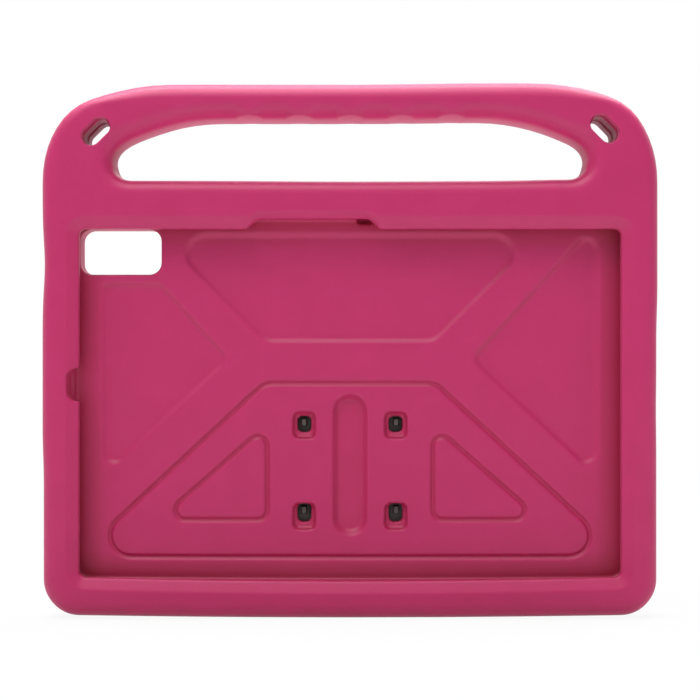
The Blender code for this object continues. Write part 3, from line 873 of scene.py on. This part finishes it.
@dataclass
class PartingBead:
    """The fine bead round the outer wall where the two halves of the mould meet."""

    radius: float = 0.00026
    depth_y: float = 0.0006
    spacing: float = 0.0015
    sides: int = 8

    def build(self, shell: bpy.types.Object) -> bpy.types.Object:
        """Run the bead round the shell's outer wall.

        Args:
            shell: The finished foam shell, which the bead follows.

        Returns:
            The bead.
        """
        bead = linked_object("parting_bead", self.wall_path(shell.data))
        tree = self.sweep_tree()
        sweep = bead.modifiers.new("sweep", "NODES")
        sweep.node_group = tree
        values = {
            "Bead radius": self.radius, "Point spacing": self.spacing, "Bead sides": self.sides,
            "Bead finish": shell.data.materials[0],
        }
        for item in tree.interface.items_tree:
            if item.name in values:
                sweep[item.identifier] = values[item.name]
        apply_modifiers(bead)
        bead.data.shade_smooth()
        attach(bead, "root")
        return bead

    def wall_path(self, mesh: bpy.types.Mesh) -> bpy.types.Mesh:
        """Cut the shell at the parting plane and keep only the outermost line of the cut.

        Args:
            mesh: The shell's mesh.

        Returns:
            A mesh of that line's corners and edges.
        """
        shape = bmesh.new()
        shape.from_mesh(mesh)
        everything = [*shape.verts, *shape.edges, *shape.faces]
        cut = bmesh.ops.bisect_plane(
            shape, geom=everything, plane_co=(0.0, self.depth_y, 0.0), plane_no=(0.0, 1.0, 0.0),
        )
        edges = {item for item in cut["geom_cut"] if isinstance(item, bmesh.types.BMEdge)}
        start = min((corner for edge in edges for corner in edge.verts), key=lambda corner: corner.co.x)
        ring = self.ring_from(start, edges)
        path = bpy.data.meshes.new("parting_bead")
        edges_round = [(index, (index + 1) % len(ring)) for index in range(len(ring))]
        path.from_pydata([corner.co.copy() for corner in ring], edges_round, [])
        shape.free()
        return path

    def ring_from(self, start: Any, edges: set[Any]) -> list[Any]:
        """Walk along the cut's edges from one corner until it closes.

        Args:
            start: Corner to start from.
            edges: Edges of the cut.

        Returns:
            The corners of the ring in order.
        """
        ring = [start]
        last = None
        while True:
            here = ring[-1]
            ahead = [edge for edge in here.link_edges if edge in edges and edge is not last]
            if not ahead:
                return ring
            last = ahead[0]
            following = last.other_vert(here)
            if following is start:
                return ring
            ring.append(following)

    def sweep_tree(self) -> bpy.types.NodeTree:
        """Build the node tree that sweeps a round bead along a line of edges.

        Returns:
            The tree, with inputs for the bead's radius, spacing, sides and finish.
        """
        tree = bpy.data.node_groups.new("Sweep parting bead", "GeometryNodeTree")
        sockets = tree.interface
        sockets.new_socket(name="Path", in_out="INPUT", socket_type="NodeSocketGeometry")
        sockets.new_socket(name="Bead radius", in_out="INPUT", socket_type="NodeSocketFloat")
        sockets.new_socket(name="Point spacing", in_out="INPUT", socket_type="NodeSocketFloat")
        sockets.new_socket(name="Bead sides", in_out="INPUT", socket_type="NodeSocketInt")
        sockets.new_socket(name="Bead finish", in_out="INPUT", socket_type="NodeSocketMaterial")
        sockets.new_socket(name="Bead", in_out="OUTPUT", socket_type="NodeSocketGeometry")
        given = add_node(tree, "NodeGroupInput").outputs
        line = add_node(tree, "GeometryNodeMeshToCurve", {"Mesh": given["Path"]})
        even = add_node(
            tree, "GeometryNodeResampleCurve",
            {"Curve": line.outputs["Curve"], "Length": given["Point spacing"]},
            mode="LENGTH",
        )
        section = add_node(
            tree, "GeometryNodeCurvePrimitiveCircle",
            {"Resolution": given["Bead sides"], "Radius": given["Bead radius"]},
        )
        swept = add_node(
            tree, "GeometryNodeCurveToMesh",
            {"Curve": even.outputs["Curve"], "Profile Curve": section.outputs["Curve"], "Fill Caps": True},
        )
        real = add_node(tree, "GeometryNodeRealizeInstances", {"Geometry": swept.outputs["Mesh"]})
        dressed = add_node(
            tree, "GeometryNodeSetMaterial",
            {"Geometry": real.outputs["Geometry"], "Material": given["Bead finish"]},
        )
        add_node(tree, "NodeGroupOutput", {"Bead": dressed.outputs["Geometry"]})
        return tree


@dataclass
class ClipPlate:
    """The plate in the case's back, with its edges rounded off and its four pegs in the clip holes."""

    finish: MouldedPlastic = field(default_factory=MouldedPlastic)
    flat_angle: float = math.radians(0.5)
    edge_radius: float = 0.00025
    edge_steps: int = 2
    sharp_angle: float = math.radians(28)

    def build(self) -> bpy.types.Object:
        """Build the plate and dress it.

        Returns:
            The plate.
        """
        plate = copy_of_node(Node.PLATE, "clip_plate_cover")
        shape = bmesh.new()
        shape.from_mesh(plate.data)
        bmesh.ops.dissolve_limit(shape, angle_limit=self.flat_angle, verts=shape.verts, edges=shape.edges)
        shape.to_mesh(plate.data)
        shape.free()
        rounding = plate.modifiers.new("rounded_edges", "BEVEL")
        rounding.width = self.edge_radius
        rounding.segments = self.edge_steps
        rounding.limit_method = "ANGLE"
        rounding.angle_limit = self.sharp_angle
        apply_modifiers(plate)
        plate.data.shade_smooth()
        plate.data.set_sharp_from_angle(angle=self.sharp_angle)
        plate.data.materials.append(self.finish.material())
        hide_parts(Node.PLATE.value)
        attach(plate, "root")
        return plate


@dataclass(frozen=True)
class SoftLight:
    """A large soft lamp."""

    name: str
    place: Point
    aim: Point
    size: tuple[float, float]
    watts: float

    def build(self) -> None:
        """Put the lamp in the scene, turned to its aim."""
        lamp = bpy.data.lights.new(self.name, "AREA")
        lamp.shape = "RECTANGLE"
        lamp.size, lamp.size_y = self.size
        lamp.energy = self.watts
        holder = linked_object(self.name, lamp)
        holder.location = self.place
        holder.rotation_euler = (Vector(self.aim) - Vector(self.place)).to_track_quat("-Z", "Y").to_euler()


@dataclass
class Studio:
    """The plain white studio: floor, surroundings, lamps and camera."""

    camera_distance: float = 0.900
    camera_height: float = 0.1245
    front_y: float = -0.0115
    focal_pixels: float = 1952.0
    picture_pixels: float = 700.0
    sensor_mm: float = 36.0
    floor_half: float = 2.0
    floor_colour: str = "#ebebeb"
    floor_white_share: float = 0.92
    floor_fade: Span = (0.35, 1.10)
    ambient: float = 0.11
    lamps: tuple[SoftLight, ...] = (
        SoftLight("top_softbox", (0.0, 0.22, 1.60), (0.0, 0.0, 0.12), (1.6, 0.7), 32.0),
        SoftLight("front_softbox", (-0.35, -0.75, 1.50), (0.0, 0.0, 0.12), (1.3, 0.8), 15.5),
        SoftLight("back_softbox", (0.50, 1.10, 1.30), (0.0, 0.0, 0.12), (1.3, 0.8), 10.0),
    )

    def build(self) -> None:
        """Build the whole studio."""
        self.add_floor()
        self.add_surroundings()
        for lamp in self.lamps:
            lamp.build()
        self.add_camera()
        bpy.context.scene.view_settings.view_transform = "Standard"

    def background_rays(self, tree: bpy.types.NodeTree, kinds: tuple[Ray, ...]) -> Any:
        """Add up the kinds of ray that see the background.

        Args:
            tree: Tree of the floor or the surroundings.
            kinds: Kinds of ray.

        Returns:
            A socket that is 1 for those rays and 0 for the others.
        """
        path = add_node(tree, "ShaderNodeLightPath")
        total = path.outputs[kinds[0].value]
        for kind in kinds[1:]:
            total = add_node(
                tree, "ShaderNodeMath", {0: total, 1: path.outputs[kind.value]}, operation="MAXIMUM",
            ).outputs["Value"]
        return total

    def add_floor(self) -> None:
        """Add the pale floor, which looks nearly as white as the background and takes the case's shadow."""
        material, tree, output = new_material("Matt white studio paper")
        seen = self.background_rays(tree, (Ray.CAMERA, Ray.GLOSSY, Ray.TRANSMISSION))
        place = add_node(tree, "ShaderNodeTexCoord").outputs["Object"]
        away = add_node(tree, "ShaderNodeVectorMath", {0: place}, operation="LENGTH")
        fading = add_node(
            tree, "ShaderNodeMapRange",
            {
                "Value": away.outputs["Value"],
                "From Min": self.floor_fade[0], "From Max": self.floor_fade[1],
                "To Min": self.floor_white_share, "To Max": 1.0,
            },
        )
        share = add_node(
            tree, "ShaderNodeMath", {0: seen, 1: fading.outputs["Result"]}, operation="MULTIPLY",
        )
        paper = add_node(
            tree, "ShaderNodeBsdfDiffuse", {"Color": linear(self.floor_colour), "Roughness": 1.0},
        )
        white = add_node(tree, "ShaderNodeEmission", {"Color": linear("#ffffff"), "Strength": 1.0})
        mixed = add_node(
            tree, "ShaderNodeMixShader",
            {0: share.outputs["Value"], 1: paper.outputs["BSDF"], 2: white.outputs["Emission"]},
        )
        tree.links.new(mixed.outputs["Shader"], output.inputs["Surface"])
        mesh = bpy.data.meshes.new("studio_floor")
        shape = bmesh.new()
        bmesh.ops.create_grid(shape, x_segments=8, y_segments=8, size=self.floor_half)
        shape.to_mesh(mesh)
        shape.free()
        floor = linked_object("studio_floor", mesh)
        floor.data.materials.append(material)

    def add_surroundings(self) -> None:
        """Add a white surrounding that lights the case evenly and softly."""
        world = bpy.data.worlds.new("white_studio")
        bpy.context.scene.world = world
        world.use_nodes = True
        tree = world.node_tree
        tree.nodes.clear()
        output = add_node(tree, "ShaderNodeOutputWorld")
        seen = self.background_rays(tree, (Ray.CAMERA, Ray.GLOSSY, Ray.TRANSMISSION))
        glow = add_node(
            tree, "ShaderNodeBackground", {"Color": linear("#ffffff"), "Strength": self.ambient},
        )
        white = add_node(tree, "ShaderNodeBackground", {"Color": linear("#ffffff"), "Strength": 1.0})
        mixed = add_node(
            tree, "ShaderNodeMixShader",
            {0: seen, 1: glow.outputs["Background"], 2: white.outputs["Background"]},
        )
        tree.links.new(mixed.outputs["Shader"], output.inputs["Surface"])

    def add_camera(self) -> None:
        """Add the camera at the photograph's place, looking straight at the case's front."""
        lens = bpy.data.cameras.new("camera")
        lens.sensor_width = self.sensor_mm
        lens.lens = self.sensor_mm * self.focal_pixels / self.picture_pixels
        camera = linked_object("camera", lens)
        camera.location = (0.0, self.front_y - self.camera_distance, self.camera_height)
        camera.rotation_euler = (math.pi / 2, 0.0, 0.0)
        bpy.context.scene.camera = camera


def main() -> None:
    """Build each piece in order."""
    logging.basicConfig(level=logging.INFO, format="%(name)s: %(message)s")
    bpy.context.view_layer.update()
    shell = FoamShell().build()
    LOG.info("%s: %d faces", shell.name, len(shell.data.polygons))
    bead = PartingBead().build(shell)
    LOG.info("%s: %d faces", bead.name, len(bead.data.polygons))
    plate = ClipPlate().build()
    LOG.info("%s: %d faces", plate.name, len(plate.data.polygons))
    Studio().build()
    LOG.info("studio: floor, surroundings, %d lamps and camera", len(Studio.lamps))


if __name__ == "__main__":
    main()
